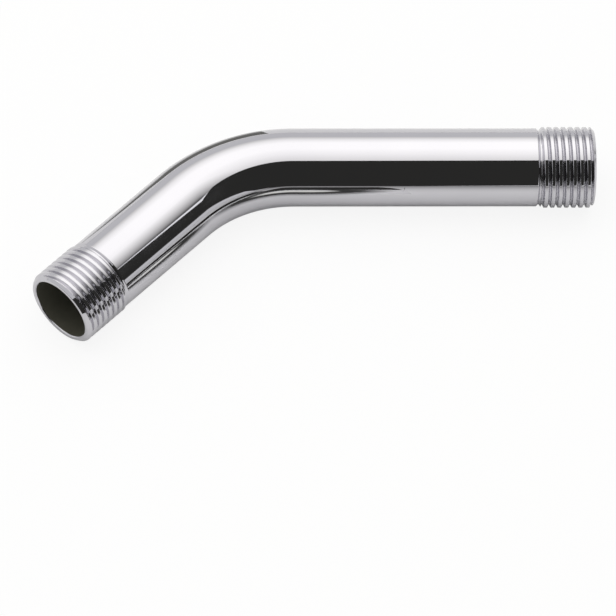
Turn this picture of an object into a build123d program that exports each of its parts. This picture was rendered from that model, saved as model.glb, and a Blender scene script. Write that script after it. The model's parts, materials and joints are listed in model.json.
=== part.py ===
import os
from math import radians, tan

from build123d import *

# Driving dimensions of the bent tube, in millimetres and degrees.
bore_diameter = 17.0
tube_wall = 1.5
wall_leg_length = 77.0  # wall end face to the start of the bend
bend_radius = 40.0  # on the centre line, twice the tube's diameter
bend_angle = 45.0
head_leg_length = 45.5  # end of the bend to the head end face

# Half-inch pipe threads. Each turn is a closed groove, and the crests are cut a little flat.
wall_thread_length = 14.8  # end face to shoulder
head_thread_length = 14.8
thread_pitch = 1.814  # 14 turns to the inch
flank_angle = 27.5  # between a flank and the plane square to the axis
thread_wall = 1.85  # bore to crest, so the crests stand just proud of the tube
root_wall = 0.82  # bore to the floor of a thread groove
root_width = 0.3
lead_chamfer = 0.85  # at 45 degrees, so that the thread starts easily
relief_wall = 0.8  # bore to the floor of the groove where the thread ends
relief_width = 0.3  # floor of that groove
shoulder_slope = 0.5  # length of the slope from the tube down into the groove
runout_slope = 0.6  # length of the slope from the groove up to the crests
mouth_chamfer = 0.25  # deburred edge of the bore at both ends

# Radii about the centre line, all built outwards from the bore.
bore_radius = bore_diameter / 2
tube_radius = bore_radius + tube_wall
crest_radius = bore_radius + thread_wall
root_radius = bore_radius + root_wall
relief_radius = bore_radius + relief_wall
end_face_radius = crest_radius - lead_chamfer

# Widths along the thread, at the crests.
flank_spread = tan(radians(flank_angle))
groove_width = root_width + 2 * (crest_radius - root_radius) * flank_spread
crest_width = thread_pitch - groove_width


# The centre line lies in the XY plane. It starts at the wall end, runs back along -X
# and turns towards -Y; each end can be trimmed to stop at a thread's shoulder.
def centre_line(wall_trim=0.0, head_trim=0.0):
    with BuildLine() as line:
        Line((-wall_trim, 0), (-wall_leg_length, 0))
        bend = CenterArc((-wall_leg_length, -bend_radius), bend_radius, 90, bend_angle)
        PolarLine(bend @ 1, head_leg_length - head_trim, 180 + bend_angle)
    return line.line


def swept_disc(path, radius):
    start = Plane(origin=path @ 0, z_dir=path % 0)
    return sweep(start * Circle(radius), path=path)


# Section of one thread groove, from its floor at the origin out past the crests.
def groove_section():
    height = 2 * (crest_radius - root_radius)
    floor_half = root_width / 2
    top_half = floor_half + height * flank_spread
    return Polygon((0, -floor_half), (height, -top_half), (height, top_half), (0, floor_half), align=None)


# An end turned about +Z, with its end face on the XY plane and its shoulder at -length:
# shoulder slope, relief groove, run-out, crests and lead chamfer. The thread's grooves start
# one crest above the run-out, and the last one runs out through the chamfer.
def turned_end(length):
    relief_start = -length + shoulder_slope
    relief_end = relief_start + relief_width
    crest_start = relief_end + runout_slope
    crest_end = -lead_chamfer
    turns = round((crest_end - crest_start - crest_width) / thread_pitch)
    first_groove = crest_start + crest_width + groove_width / 2
    with BuildPart() as end:
        with BuildSketch(Plane.XZ):
            with BuildLine():
                Polyline(
                    (0, -length),
                    (tube_radius, -length),
                    (relief_radius, relief_start),
                    (relief_radius, relief_end),
                    (crest_radius, crest_start),
                    (crest_radius, crest_end),
                    (end_face_radius, 0),
                    (0, 0),
                    close=True,
                )
            make_face()
        revolve(axis=Axis.Z)
        with BuildSketch(Plane.XZ):
            with Locations([(root_radius, first_groove + turn * thread_pitch) for turn in range(turns)]):
                groove_section()
        revolve(axis=Axis.Z, mode=Mode.SUBTRACT)
    return end.part


# The tube is bent with its bore open, so the wall stays even round the bend.
def bent_arm():
    whole_line = centre_line()
    wall_end = Plane(origin=whole_line @ 0, z_dir=-(whole_line % 0))
    head_end = Plane(origin=whole_line @ 1, z_dir=whole_line % 1)
    outside = swept_disc(centre_line(wall_thread_length, head_thread_length), tube_radius)
    outside += wall_end * turned_end(wall_thread_length)
    outside += head_end * turned_end(head_thread_length)
    arm = outside - swept_disc(whole_line, bore_radius)
    mouths = []
    for end in (wall_end, head_end):
        outward = Axis(end.origin, end.z_dir)
        end_face = arm.faces().sort_by(outward)[-1]
        mouths += end_face.inner_wires()[0].edges()
    return chamfer(mouths, mouth_chamfer)


os.makedirs("parts", exist_ok=True)
export_step(bent_arm(), "parts/arm_tube.step")
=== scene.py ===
import json
import math

import bpy
from mathutils import Matrix, Vector


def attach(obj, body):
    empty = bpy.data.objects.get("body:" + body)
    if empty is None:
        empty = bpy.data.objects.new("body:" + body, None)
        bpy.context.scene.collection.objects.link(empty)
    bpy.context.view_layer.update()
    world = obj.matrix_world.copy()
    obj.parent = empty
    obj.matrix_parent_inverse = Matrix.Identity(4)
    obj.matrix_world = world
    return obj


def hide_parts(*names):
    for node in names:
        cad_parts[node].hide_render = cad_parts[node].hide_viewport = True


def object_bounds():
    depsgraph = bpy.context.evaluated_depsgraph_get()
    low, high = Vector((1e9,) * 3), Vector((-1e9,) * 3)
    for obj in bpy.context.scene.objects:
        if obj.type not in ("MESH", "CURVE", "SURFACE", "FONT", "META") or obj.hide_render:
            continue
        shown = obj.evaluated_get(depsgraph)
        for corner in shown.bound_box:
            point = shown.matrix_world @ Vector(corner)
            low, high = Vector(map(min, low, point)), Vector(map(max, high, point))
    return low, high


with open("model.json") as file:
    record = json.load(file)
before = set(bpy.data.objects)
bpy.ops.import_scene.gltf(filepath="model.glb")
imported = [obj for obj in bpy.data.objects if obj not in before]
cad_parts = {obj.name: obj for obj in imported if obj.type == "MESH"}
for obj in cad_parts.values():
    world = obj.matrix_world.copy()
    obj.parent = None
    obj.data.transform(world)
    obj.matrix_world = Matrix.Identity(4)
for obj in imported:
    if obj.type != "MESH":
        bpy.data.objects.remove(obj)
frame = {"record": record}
cadLow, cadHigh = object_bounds()


# sRGB hex to the linear colour that nodes take
def linearColour(hexCode):
    steps = [int(hexCode[i:i + 2], 16) / 255 for i in (1, 3, 5)]
    return [s / 12.92 if s <= 0.04045 else ((s + 0.055) / 1.055) ** 2.4 for s in steps] + [1.0]


# adds a node, sets its properties, and fills or links its inputs by name or number
def addNode(tree, kind, inputs=None, **settings):
    node = tree.nodes.new(kind)
    for name, value in settings.items():
        setattr(node, name, value)
    for name, value in (inputs or {}).items():
        if isinstance(value, bpy.types.NodeSocket):
            tree.links.new(value, node.inputs[name])
        else:
            node.inputs[name].default_value = value
    return node


# Finishes, with patches and relief in metres

chromePlate = {
    "pale": "#CAC9CE",
    "deep": "#C2C1C7",
    "tintPatch": 0.030,
    "hazePatch": 0.004,
    "hazeDetail": 4,
    "hazeLevels": (0.35, 0.7),  # of the noise, where the haze starts and where it is full
    "haze": (0.02, 0.06),  # roughness at those two levels
}


# a cool mirror, with a breath of haze where the polishing wheel touched less
def makeChrome(look):
    material = bpy.data.materials.new("polished chrome plate")
    material.use_nodes = True
    tree = material.node_tree
    shader = tree.nodes["Principled BSDF"]
    place = addNode(tree, "ShaderNodeTexCoord").outputs["Object"]
    tint = addNode(tree, "ShaderNodeTexNoise", {"Vector": place, "Scale": 1 / look["tintPatch"]})
    colour = addNode(tree, "ShaderNodeMix", {
        0: tint.outputs[0],
        6: linearColour(look["pale"]),  # 6 and 7 are the two colours that it mixes
        7: linearColour(look["deep"]),
    }, data_type="RGBA")
    patch = addNode(tree, "ShaderNodeTexNoise", {
        "Vector": place, "Scale": 1 / look["hazePatch"], "Detail": look["hazeDetail"],
    })
    haze = addNode(tree, "ShaderNodeMapRange", {
        "Value": patch.outputs[0],
        "From Min": look["hazeLevels"][0], "From Max": look["hazeLevels"][1],
        "To Min": look["haze"][0], "To Max": look["haze"][1],
    })
    tree.links.new(colour.outputs[2], shader.inputs["Base Color"])
    tree.links.new(haze.outputs[0], shader.inputs["Roughness"])
    shader.inputs["Metallic"].default_value = 1.0
    return material


dullBoreInPaintedShade = {
    # pale and deep are both dark: painted shade inside the bore, varied in random patches
    "pale": "#4E4D42",
    "deep": "#434239",
    "patch": 0.003,
    "patchDetail": 5,
    "roughness": (0.45, 0.7),
    "relief": 0.00004,
}


# brass left as drawn: no mirror, and its dark colours are painted shade, so the mouth reads as a dark hole
def makeBore(look):
    material = bpy.data.materials.new("dull drawn bore in painted shade")
    material.use_nodes = True
    tree = material.node_tree
    shader = tree.nodes["Principled BSDF"]
    place = addNode(tree, "ShaderNodeTexCoord").outputs["Object"]
    patch = addNode(tree, "ShaderNodeTexNoise", {
        "Vector": place, "Scale": 1 / look["patch"], "Detail": look["patchDetail"],
    })
    # patchy mix of the two colours of painted shade
    colour = addNode(tree, "ShaderNodeMix", {
        0: patch.outputs[0],
        6: linearColour(look["deep"]),
        7: linearColour(look["pale"]),
    }, data_type="RGBA")
    rough = addNode(tree, "ShaderNodeMapRange", {
        "Value": patch.outputs[0], "To Min": look["roughness"][0], "To Max": look["roughness"][1],
    })
    relief = addNode(tree, "ShaderNodeBump", {"Height": patch.outputs[0], "Distance": look["relief"]})
    tree.links.new(colour.outputs[2], shader.inputs["Base Color"])
    tree.links.new(rough.outputs[0], shader.inputs["Roughness"])
    tree.links.new(relief.outputs[0], shader.inputs["Normal"])
    return material


chromeMaterial = makeChrome(chromePlate)
boreMaterial = makeBore(dullBoreInPaintedShade)
print("finishes made")


# The arm, in metres: turned straight, threaded at both ends, then bent

arm = {
    "tubeRadius": 0.010,
    "boreRadius": 0.0085,
    "boreMargin": 0.00001,  # faces up to this far past the bore's radius have its finish
    "bendRadius": 0.040,
    "threadLength": 0.0148,  # end face to shoulder
    "leadChamfer": 0.00085,
    "runoutSlope": 0.0006,
    "reliefWidth": 0.0003,
    "reliefRadius": 0.0095,
    "shoulderSlope": 0.0005,
    "mouthChamfer": 0.00025,
    "threadPitch": 0.001814,
    "rootRadius": 0.0095,
    "rootWidth": 0.00008,
    "flankAngle": 27.5,
    "threadEase": 0.0001,  # rounding of the crests and roots
    "edgeRound": 0.00006,
    "segments": 128,
    "threadStep": 0.000075,  # longest faces along the thread, the bend and the legs
    "bendStep": 0.0006,
    "legStep": 0.003,
}

# the crests and the two end faces say where the frame's centre line runs
mounts = {m["name"]: m for m in frame["record"]["mounts"]}
crestRadius = mounts["wall_thread"]["dims"]["r_mm"] / 1000
headEnd = Vector(mounts["head_end_face"]["pos_m"])
headAxis = Vector(mounts["head_end_face"]["axis"])
bendAngle = headAxis.angle(-Vector(mounts["wall_end_face"]["axis"]))
pastCorner = headEnd.y / headAxis.y  # head end back to where the two straight lines would cross
bendReach = arm["bendRadius"] * math.tan(bendAngle / 2)
wallLeg = -(headEnd - headAxis * pastCorner).x - bendReach
headLeg = pastCorner - bendReach
bendLength = arm["bendRadius"] * bendAngle
wholeLength = wallLeg + bendLength + headLeg
shoulder = arm["threadLength"]
reliefEnd = shoulder - arm["shoulderSlope"] - arm["reliefWidth"]
crestEnd = reliefEnd - arm["runoutSlope"]
# the thread groove starts at the top of the tube, just where its near flank reaches the crests
flankRun = (crestRadius - arm["rootRadius"]) * math.tan(math.radians(arm["flankAngle"]))
firstCut = crestEnd + arm["rootWidth"] / 2 + flankRun


# corners of the wall's section as distance along and radius, once round:
# wall mouth, outside, head mouth, bore
def sectionCorners(a):
    oneEnd = [
        (a["mouthChamfer"], a["boreRadius"]),
        (0, a["boreRadius"] + a["mouthChamfer"]),
        (0, crestRadius - a["leadChamfer"]),
        (a["leadChamfer"], crestRadius),
        (crestEnd, crestRadius),
        (reliefEnd, a["reliefRadius"]),
        (reliefEnd + a["reliefWidth"], a["reliefRadius"]),
        (shoulder, a["tubeRadius"]),
    ]
    bendEnds = [wallLeg, wallLeg + bendLength]
    corners = oneEnd + [(s, a["tubeRadius"]) for s in bendEnds]
    corners += [(wholeLength - s, r) for s, r in reversed(oneEnd)]
    corners += [(s, a["boreRadius"]) for s in reversed(bendEnds)]
    return [Vector(c) for c in corners]


# every edge is eased by two close points, with a supporting point beside each to keep the faces flat,
# and each run is filled as finely as it needs
def sectionPoints(a):
    corners = sectionCorners(a)
    eased = []
    for before, corner, after in zip(corners[-1:] + corners[:-1], corners, corners[1:] + corners[:1]):
        eased += [corner + (before - corner).normalized() * a["edgeRound"] * far for far in (2, 1)]
        eased += [corner + (after - corner).normalized() * a["edgeRound"] * far for far in (1, 2)]
    points = []
    for start, end in zip(eased, eased[1:] + eased[:1]):
        middle = (start + end) / 2
        fromEnd = min(middle.x, wholeLength - middle.x)
        step = a["legStep"]
        if a["edgeRound"] < fromEnd < reliefEnd and middle.y > a["boreRadius"] + a["mouthChamfer"]:
            step = a["threadStep"]
        elif wallLeg < middle.x < wallLeg + bendLength:
            step = a["bendStep"]
        count = math.ceil((end - start).length / step)
        points += [start.lerp(end, i / count) for i in range(count)]
    return points


def addSection(a):
    curve = bpy.data.curves.new("wall section", "CURVE")
    curve.dimensions = "3D"
    points = sectionPoints(a)
    spline = curve.splines.new("POLY")
    spline.points.add(len(points) - 1)
    spline.use_cyclic_u = True
    for point, place in zip(spline.points, points):
        point.co = (place.y - a["tubeRadius"], place.x, 0, 1)
    section = bpy.data.objects.new("wall section", curve)
    bpy.context.scene.collection.objects.link(section)
    return section


def armTree():
    tree = bpy.data.node_groups.new("turned, threaded and bent tube", "GeometryNodeTree")
    face = tree.interface
    face.new_socket("Geometry", in_out="INPUT", socket_type="NodeSocketGeometry")
    face.new_socket("Geometry", in_out="OUTPUT", socket_type="NodeSocketGeometry")
    face.new_socket("Segments", in_out="INPUT", socket_type="NodeSocketInt")
    for name in ("Tube Radius", "Bore Radius", "Bore Margin", "Thread Pitch", "Root Radius", "Root Width",
                 "Flank Rise", "Thread Ease", "First Cut", "Whole Length", "Wall Leg", "Bend Radius",
                 "Bend Angle"):
        face.new_socket(name, in_out="INPUT", socket_type="NodeSocketFloat")
    for name in ("Outside", "Bore"):
        face.new_socket(name, in_out="INPUT", socket_type="NodeSocketMaterial")
    size = addNode(tree, "NodeGroupInput").outputs

    # lathe: the section is carried once round a circle, and the axis laid along X
    circle = addNode(tree, "GeometryNodeCurvePrimitiveCircle", {
        "Resolution": size["Segments"], "Radius": size["Tube Radius"],
    })
    turned = addNode(tree, "GeometryNodeCurveToMesh", {
        "Curve": circle.outputs[0], "Profile Curve": size["Geometry"],
    })
    blank = addNode(tree, "GeometryNodeTransform", {
        "Geometry": turned.outputs[0], "Rotation": (0, math.pi / 2, 0),
    })
    place = addNode(tree, "GeometryNodeInputPosition").outputs[0]
    parts = addNode(tree, "ShaderNodeSeparateXYZ", {0: place}).outputs
    along = addNode(tree, "ShaderNodeMath", {0: parts[0], 1: -1.0}, operation="MULTIPLY").outputs[0]
    across = addNode(tree, "ShaderNodeCombineXYZ", {1: parts[1], 2: parts[2]}).outputs[0]
    radius = addNode(tree, "ShaderNodeVectorMath", {0: across}, operation="LENGTH").outputs["Value"]

    # the faces of the bore are marked while the tube is a straight blank
    boreLimit = addNode(tree, "ShaderNodeMath", {
        0: size["Bore Radius"], 1: size["Bore Margin"],
    }, operation="ADD").outputs[0]
    inside = addNode(tree, "ShaderNodeMath", {0: radius, 1: boreLimit}, operation="LESS_THAN").outputs[0]
    marked = addNode(tree, "GeometryNodeCaptureAttribute", {"Geometry": blank.outputs[0]}, domain="FACE")
    marked.capture_items.new("FLOAT", "Inside")
    tree.links.new(inside, marked.inputs["Inside"])

    # thread: a right-hand helical groove at each end, whose first turn starts between relief and crests
    fromHead = addNode(tree, "ShaderNodeMath", {
        0: size["Whole Length"], 1: along,
    }, operation="SUBTRACT").outputs[0]
    fromEnd = addNode(tree, "ShaderNodeMath", {0: along, 1: fromHead}, operation="MINIMUM").outputs[0]
    whichEnd = addNode(tree, "ShaderNodeMath", {0: along, 1: fromHead}, operation="SUBTRACT").outputs[0]
    whichEnd = addNode(tree, "ShaderNodeMath", {0: whichEnd}, operation="SIGN").outputs[0]
    sideways = addNode(tree, "ShaderNodeMath", {0: parts[1], 1: whichEnd}, operation="MULTIPLY").outputs[0]

    # share of a turn from the top; it jumps half a segment before the top, where no point lies
    angle = addNode(tree, "ShaderNodeMath", {0: sideways, 1: parts[2]}, operation="ARCTAN2").outputs[0]
    turn = addNode(tree, "ShaderNodeMath", {0: angle, 1: 2 * math.pi}, operation="DIVIDE").outputs[0]
    jump = addNode(tree, "ShaderNodeMath", {0: -0.5, 1: size["Segments"]}, operation="DIVIDE").outputs[0]
    jumpEnd = addNode(tree, "ShaderNodeMath", {0: jump, 1: 1.0}, operation="ADD").outputs[0]
    turn = addNode(tree, "ShaderNodeMath", {0: turn, 1: jumpEnd, 2: jump}, operation="WRAP").outputs[0]

    # turns since the start of the groove, and how far along the axis the nearest turn is
    halfTurn = 0.5  # midway between two turns, so on a crest
    cutLength = addNode(tree, "ShaderNodeMath", {
        0: size["First Cut"], 1: fromEnd,
    }, operation="SUBTRACT").outputs[0]
    turns = addNode(tree, "ShaderNodeMath", {
        0: cutLength, 1: size["Thread Pitch"],
    }, operation="DIVIDE").outputs[0]
    turns = addNode(tree, "ShaderNodeMath", {0: turns, 1: turn}, operation="SUBTRACT").outputs[0]
    turns = addNode(tree, "ShaderNodeMath", {0: turns, 1: -halfTurn}, operation="MAXIMUM").outputs[0]
    offGroove = addNode(tree, "ShaderNodeMath", {0: turns, 1: halfTurn}, operation="PINGPONG").outputs[0]
    offGroove = addNode(tree, "ShaderNodeMath", {
        0: offGroove, 1: size["Thread Pitch"],
    }, operation="MULTIPLY").outputs[0]

    # flanks rise from the root on both sides, eased at the root and at the crests
    halfRoot = addNode(tree, "ShaderNodeMath", {
        0: size["Root Width"], 1: 2.0,
    }, operation="DIVIDE").outputs[0]
    flank = addNode(tree, "ShaderNodeMath", {0: offGroove, 1: halfRoot}, operation="SUBTRACT").outputs[0]
    flank = addNode(tree, "ShaderNodeMath", {
        0: flank, 1: size["Flank Rise"],
    }, operation="MULTIPLY").outputs[0]
    flank = addNode(tree, "ShaderNodeMath", {
        0: flank, 1: 0.0, 2: size["Thread Ease"],
    }, operation="SMOOTH_MAX").outputs[0]
    threadRadius = addNode(tree, "ShaderNodeMath", {
        0: size["Root Radius"], 1: flank,
    }, operation="ADD").outputs[0]
    newRadius = addNode(tree, "ShaderNodeMath", {
        0: radius, 1: threadRadius, 2: size["Thread Ease"],
    }, operation="SMOOTH_MIN").outputs[0]
    ratio = addNode(tree, "ShaderNodeMath", {0: newRadius, 1: radius}, operation="DIVIDE").outputs[0]
    ratios = addNode(tree, "ShaderNodeCombineXYZ", {0: 1.0, 1: ratio, 2: ratio}).outputs[0]
    cutPlace = addNode(tree, "ShaderNodeVectorMath", {0: place, 1: ratios}, operation="MULTIPLY").outputs[0]
    threaded = addNode(tree, "GeometryNodeSetPosition", {
        "Geometry": marked.outputs[0], "Position": cutPlace,
    })

    # bend: the length that the bend takes up is drawn in, then each ring swings about the bend's centre
    bendTakes = addNode(tree, "ShaderNodeMath", {
        0: size["Bend Radius"], 1: size["Bend Angle"],
    }, operation="MULTIPLY").outputs[0]
    bendEnd = addNode(tree, "ShaderNodeMath", {
        0: size["Wall Leg"], 1: bendTakes,
    }, operation="ADD").outputs[0]
    swing = addNode(tree, "ShaderNodeMapRange", {
        "Value": along, "From Min": size["Wall Leg"], "From Max": bendEnd,
        "To Min": 0.0, "To Max": size["Bend Angle"],
    }).outputs[0]
    drawIn = addNode(tree, "ShaderNodeMath", {
        0: swing, 1: size["Bend Radius"],
    }, operation="MULTIPLY").outputs[0]
    drawnIn = addNode(tree, "ShaderNodeCombineXYZ", {0: drawIn}).outputs[0]
    drawn = addNode(tree, "ShaderNodeVectorMath", {0: place, 1: drawnIn}, operation="ADD").outputs[0]
    centre = addNode(tree, "ShaderNodeCombineXYZ", {0: size["Wall Leg"], 1: size["Bend Radius"]}).outputs[0]
    centre = addNode(tree, "ShaderNodeVectorMath", {
        0: centre, 1: (-1.0, -1.0, 0.0),
    }, operation="MULTIPLY").outputs[0]
    swung = addNode(tree, "ShaderNodeVectorRotate", {
        "Vector": drawn, "Center": centre, "Angle": swing,
    }, rotation_type="Z_AXIS").outputs[0]
    bent = addNode(tree, "GeometryNodeSetPosition", {"Geometry": threaded.outputs[0], "Position": swung})

    smooth = addNode(tree, "GeometryNodeSetShadeSmooth", {"Geometry": bent.outputs[0]})
    whole = addNode(tree, "GeometryNodeRealizeInstances", {"Geometry": smooth.outputs[0]})
    plated = addNode(tree, "GeometryNodeSetMaterial", {
        "Geometry": whole.outputs[0], "Material": size["Outside"],
    })
    bored = addNode(tree, "GeometryNodeSetMaterial", {
        "Geometry": plated.outputs[0], "Selection": marked.outputs["Inside"], "Material": size["Bore"],
    })
    addNode(tree, "NodeGroupOutput", {0: bored.outputs[0]})
    return tree


# the tree runs on the section, and its result is kept as a plain mesh
def makeArm(a):
    section = addSection(a)
    modifier = section.modifiers.new("tube", "NODES")
    modifier.node_group = armTree()
    values = {
        "Segments": a["segments"],
        "Tube Radius": a["tubeRadius"],
        "Bore Radius": a["boreRadius"],
        "Bore Margin": a["boreMargin"],
        "Thread Pitch": a["threadPitch"],
        "Root Radius": a["rootRadius"],
        "Root Width": a["rootWidth"],
        "Flank Rise": 1 / math.tan(math.radians(a["flankAngle"])),
        "Thread Ease": a["threadEase"],
        "First Cut": firstCut,
        "Whole Length": wholeLength,
        "Wall Leg": wallLeg,
        "Bend Radius": a["bendRadius"],
        "Bend Angle": bendAngle,
        "Outside": chromeMaterial,
        "Bore": boreMaterial,
    }
    for socket in modifier.node_group.interface.items_tree:
        if socket.in_out == "INPUT" and socket.name in values:
            modifier[socket.identifier] = values[socket.name]
    graph = bpy.context.evaluated_depsgraph_get()
    mesh = bpy.data.meshes.new_from_object(section.evaluated_get(graph), depsgraph=graph)
    bpy.data.objects.remove(section)
    piece = bpy.data.objects.new("chromedArm", mesh)
    bpy.context.scene.collection.objects.link(piece)
    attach(piece, "root")
    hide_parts("arm_tube")
    return piece


armPiece = makeArm(arm)
print("arm made:", len(armPiece.data.polygons), "faces")


# Studio, in metres: a white table in a pale room, a soft panel overhead and cards round the arm


# a flat card, seen by the chrome but not by the camera
def addCard(name, corners, material, mirrorOnly=True):
    mesh = bpy.data.meshes.new(name)
    mesh.from_pydata(corners, [], [range(len(corners))])
    mesh.materials.append(material)
    card = bpy.data.objects.new(name, mesh)
    bpy.context.scene.collection.objects.link(card)
    card.visible_camera = False
    card.visible_diffuse = not mirrorOnly
    card.visible_shadow = not mirrorOnly
    return card


def glow(name, colour, strength):
    material = bpy.data.materials.new(name)
    material.use_nodes = True
    tree = material.node_tree
    tree.nodes.clear()
    light = addNode(tree, "ShaderNodeEmission", {"Color": linearColour(colour), "Strength": strength})
    addNode(tree, "ShaderNodeOutputMaterial", {"Surface": light.outputs[0]})
    return material


# a share that changes along a value, from a dictionary of places and shares
def fadeAlong(tree, value, shares):
    first, last = min(shares), max(shares)
    spread = addNode(tree, "ShaderNodeMapRange", {"Value": value, "From Min": first, "From Max": last})
    ramp = addNode(tree, "ShaderNodeValToRGB", {0: spread.outputs[0]})
    stops = ramp.color_ramp.elements
    stops.remove(stops[1])
    for where, share in shares.items():
        stop = stops[0] if where == first else stops.new((where - first) / (last - first))
        stop.color = (share, share, share, 1)
    return ramp.outputs[0]


whiteTable = {
    "colour": "#E0E0E0",
    "bleach": 0.88,  # share of plain white that the camera sees in it
    "size": 12.0,
}


def addTable(t):
    material = bpy.data.materials.new("matt white table")
    material.use_nodes = True
    tree = material.node_tree
    shader = tree.nodes["Principled BSDF"]
    shader.inputs["Base Color"].default_value = linearColour(t["colour"])
    shader.inputs["Roughness"].default_value = 1.0
    shader.inputs["Specular IOR Level"].default_value = 0.0
    fromCamera = addNode(tree, "ShaderNodeLightPath").outputs["Is Camera Ray"]
    bleach = addNode(tree, "ShaderNodeMath", {0: fromCamera, 1: t["bleach"]}, operation="MULTIPLY")
    paper = addNode(tree, "ShaderNodeEmission", {"Strength": 1.0})  # plain white
    both = addNode(tree, "ShaderNodeMixShader", {
        0: bleach.outputs[0], 1: shader.outputs[0], 2: paper.outputs[0],
    })
    tree.links.new(both.outputs[0], tree.nodes["Material Output"].inputs["Surface"])
    low = cadLow.z
    half = t["size"] / 2
    corners = [(-half, -half, low), (half, -half, low), (half, half, low), (-half, half, low)]
    floor = addCard("floor", corners, material, mirrorOnly=False)
    floor.visible_camera = True


softPanel = {
    "colour": "#FFFEFA",
    "peak": 1.75,
    "height": 1.0,
    "sides": (-1.6, 1.04),
    "front": (-0.50, -0.215),  # at the left and the right side
    "back": 2.4,
    # shares of the peak by place, across and from front to back
    "acrossFade": {0.28: 1.0, 0.80: 0.39, 0.93: 0.14, 1.04: 0.12},
    "depthFade": {
        -0.27: 0.68, 0.08: 0.88, 0.40: 1.0, 0.90: 1.0, 1.25: 0.88, 1.50: 0.80, 1.80: 0.66, 2.4: 0.48,
    },
}


def addPanel(p):
    material = glow("soft panel", p["colour"], p["peak"])
    tree = material.node_tree
    place = addNode(tree, "ShaderNodeTexCoord").outputs["Object"]
    axes = addNode(tree, "ShaderNodeSeparateXYZ", {0: place}).outputs
    strength = p["peak"]
    for axis, shares in (("X", p["acrossFade"]), ("Y", p["depthFade"])):
        share = fadeAlong(tree, axes[axis], shares)
        strength = addNode(tree, "ShaderNodeMath", {0: share, 1: strength}, operation="MULTIPLY").outputs[0]
    tree.links.new(strength, tree.nodes["Emission"].inputs["Strength"])
    left, right = p["sides"]
    frontLeft, frontRight = p["front"]
    outline = [(left, frontLeft), (left, p["back"]), (right, p["back"]), (right, frontRight)]
    addCard("soft panel", [(x, y, p["height"]) for x, y in outline], material, mirrorOnly=False)


# stands in front of the arm and gives the chrome its dark band
blackCard = {
    "colour": "#FFFFF6",
    "tone": 0.0355,
    "front": -0.15,
    "outline": (  # a foot that is level at the left and rises to the right, the right side and the top
        (-0.20, -0.001), (-0.035, -0.001), (0.004, 0.005), (0.030, 0.024), (0.44, 0.092),
        (0.52, 0.30), (0.51, 0.470), (0.46, 0.595),
        (0.48, 0.757), (-0.20, 0.46),
    ),
}


def addBlackCard(c):
    outline = [(x, c["front"], z) for x, z in c["outline"]]
    addCard("black card", outline, glow("black card", c["colour"], c["tone"]))


# the chrome sees it past the right side of the black card, as the white line along the head leg
sideCard = {
    "colour": "#FFFFFF",
    "tone": 1.3,
    "place": 1.3,
    "depth": (-0.8, 0.2),
    "height": (0.6, 1.7),
}


def addSideCard(c):
    near, far = c["depth"]
    bottom, top = c["height"]
    outline = [(near, bottom), (far, bottom), (far, top), (near, top)]
    corners = [(c["place"], y, z) for y, z in outline]
    addCard("white side card", corners, glow("white side card", c["colour"], c["tone"]))


# small standing black cards, with the place and the top at each end: two edge on to the wall leg,
# and three that darken the flanks of the threads
screens = {
    "upstand": {"foot": -0.0103, "start": (-0.0473, -0.035, -0.0025), "end": (-0.0442, -0.075, -0.0025)},
    "upstand toe": {"foot": -0.0103, "start": (-0.0442, -0.075, -0.0025), "end": (-0.0426, -0.097, -0.0102)},
    "left screen": {"foot": -0.0103, "start": (-0.45, -0.15, 0.06), "end": (-0.20, -0.15, 0.06)},
    "right screen": {"foot": 0.0125, "start": (0.04, -0.055, 0.03), "end": (0.04, 0.06, 0.03)},
    "far screen": {"foot": 0.12, "start": (0.5, -0.12, 0.45), "end": (0.5, 0.40, 0.45)},
}


def addScreens(cards):
    for name, card in cards.items():
        start, end = card["start"], card["end"]
        corners = [(*start[:2], card["foot"]), (*end[:2], card["foot"]), end, start]
        addCard(name, corners, glow(name, blackCard["colour"], blackCard["tone"]))


# soft cards on the table that draw the thin lines along the chrome; each fades by the distance
# from a centre, and a far centre makes the fade run straight
lowLift = 0.0001  # of each card above the one before
lowCards = {
    "table shade": {
        "tone": 0.0355,
        "corners": ((-0.10, -0.40), (0.10, -0.40), (0.10, -0.03), (-0.10, -0.03)),
        "centre": (0.0, 2.0),
        "fade": {2.0375: 0.0, 2.072: 0.2, 2.09: 0.33, 2.18: 0.52, 2.35: 0.75},
    },
    "front strip": {
        "tone": 0.04,
        "corners": ((-0.085, -0.15), (-0.046, -0.15), (-0.046, -0.060), (-0.066, -0.064), (-0.085, -0.070)),
        "centre": (-0.0735, -0.049),
        "fade": {0.0: 1.0, 1.0: 1.0},  # even all over
    },
    "round shade": {
        "tone": 0.06,
        "corners": ((-0.1015, -0.077), (-0.0455, -0.077), (-0.0455, -0.021), (-0.1015, -0.021)),
        "centre": (-0.0735, -0.049),
        "fade": {0.007: 0.0, 0.011: 1.0, 0.0165: 1.0, 0.0255: 0.0},
    },
    "pale spot": {
        "tone": 0.95,
        "corners": ((-0.0815, -0.056), (-0.0615, -0.056), (-0.0615, -0.036), (-0.0815, -0.036)),
        "centre": (-0.0715, -0.046),
        "fade": {0.004: 1.0, 0.009: 0.0},
    },
    "back strip": {
        "tone": 0.20,
        "corners": (
            (-0.085, 0.014), (-0.085, 0.24), (-0.193, 0.24),
            (-0.154, 0.105), (-0.150, 0.058), (-0.145, 0.008),
        ),
        "centre": (-0.105, -0.02),
        "fade": {0.040: 0.0, 0.065: 1.0},
    },
}


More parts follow.
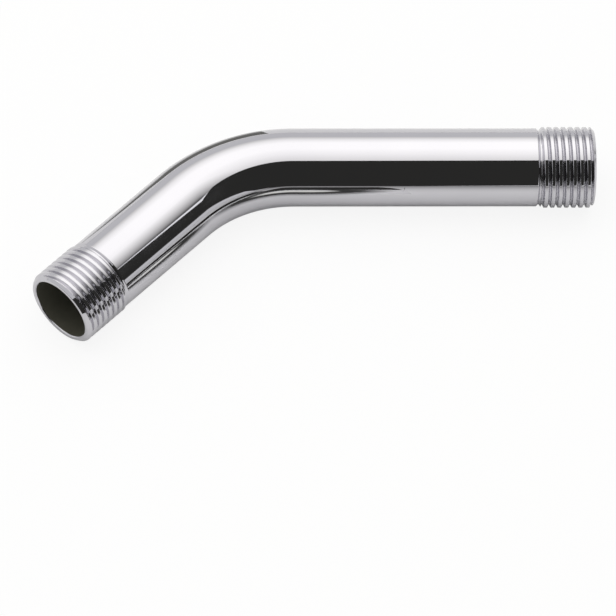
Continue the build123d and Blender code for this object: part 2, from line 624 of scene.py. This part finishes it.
def addLowCards(cards):
    lowTop = cadLow.z
    for name, card in cards.items():
        lowTop += lowLift
        material = glow(name, blackCard["colour"], card["tone"])
        tree = material.node_tree
        place = addNode(tree, "ShaderNodeTexCoord").outputs["Object"]
        away = addNode(tree, "ShaderNodeVectorMath", {
            0: place, 1: (*card["centre"], lowTop),
        }, operation="DISTANCE")
        share = fadeAlong(tree, away.outputs["Value"], card["fade"])
        clear = addNode(tree, "ShaderNodeBsdfTransparent")
        mixed = addNode(tree, "ShaderNodeMixShader", {
            0: share, 1: clear.outputs[0], 2: tree.nodes["Emission"].outputs[0],
        })
        tree.links.new(mixed.outputs[0], tree.nodes["Material Output"].inputs["Surface"])
        addCard(name, [(x, y, lowTop) for x, y in card["corners"]], material)


topLight = {
    "power": 1.6,
    "place": (-0.07, 0.0, 0.70),
    "size": 0.6,
}


# a soft light from above that stays out of the chrome
def addTopLight(t):
    light = bpy.data.lights.new("top light", "AREA")
    light.energy = t["power"]
    light.size = t["size"]
    lamp = bpy.data.objects.new("top light", light)
    lamp.location = t["place"]
    lamp.visible_glossy = False
    bpy.context.scene.collection.objects.link(lamp)


paleRoom = {
    "colour": "#FFFFFF",
    "inChrome": 0.80,  # strength as the chrome sees it
    "onTable": 0.6,  # and as it lights the table
}


# behind everything, the camera sees the room's plain colour
def addRoom(r):
    world = bpy.data.worlds.new("pale room")
    bpy.context.scene.world = world
    world.use_nodes = True
    tree = world.node_tree
    room = tree.nodes["Background"]
    room.inputs["Color"].default_value = linearColour(r["colour"])
    rays = addNode(tree, "ShaderNodeLightPath").outputs
    strength = addNode(tree, "ShaderNodeMapRange", {
        "Value": rays["Is Glossy Ray"], "To Min": r["onTable"], "To Max": r["inChrome"],
    })
    tree.links.new(strength.outputs[0], room.inputs["Strength"])
    seen = addNode(tree, "ShaderNodeBackground", {"Color": linearColour(r["colour"])})
    mixed = addNode(tree, "ShaderNodeMixShader", {
        0: rays["Is Camera Ray"], 1: room.outputs[0], 2: seen.outputs[0],
    })
    tree.links.new(mixed.outputs[0], tree.nodes["World Output"].inputs["Surface"])


addTable(whiteTable)
addPanel(softPanel)
addBlackCard(blackCard)
addSideCard(sideCard)
addScreens(screens)
addLowCards(lowCards)
addTopLight(topLight)
addRoom(paleRoom)
bpy.context.scene.view_settings.view_transform = "Standard"
print("studio made")


# Camera: from the front, well above, a little to the left and tilted

view = {
    "aim": (-0.07477, -0.04345, 0.0),
    "distance": 1.9712,
    "azimuth": -6.08,
    "elevation": 55.68,
    "roll": 4.92,
    "lens": 455.8,
}


def addCamera(v):
    azimuth = math.radians(v["azimuth"])
    elevation = math.radians(v["elevation"])
    back = Vector((
        math.sin(azimuth) * math.cos(elevation),
        -math.cos(azimuth) * math.cos(elevation),
        math.sin(elevation),
    ))
    right = Vector((math.cos(azimuth), math.sin(azimuth), 0))
    level = Matrix((right, back.cross(right), back)).transposed()
    turned = level @ Matrix.Rotation(math.radians(v["roll"]), 3, "Z")
    data = bpy.data.cameras.new("camera")
    data.lens = v["lens"]
    camera = bpy.data.objects.new("camera", data)
    camera.matrix_world = Matrix.Translation(Vector(v["aim"]) + back * v["distance"]) @ turned.to_4x4()
    bpy.context.scene.collection.objects.link(camera)
    bpy.context.scene.camera = camera


addCamera(view)
print("camera set")
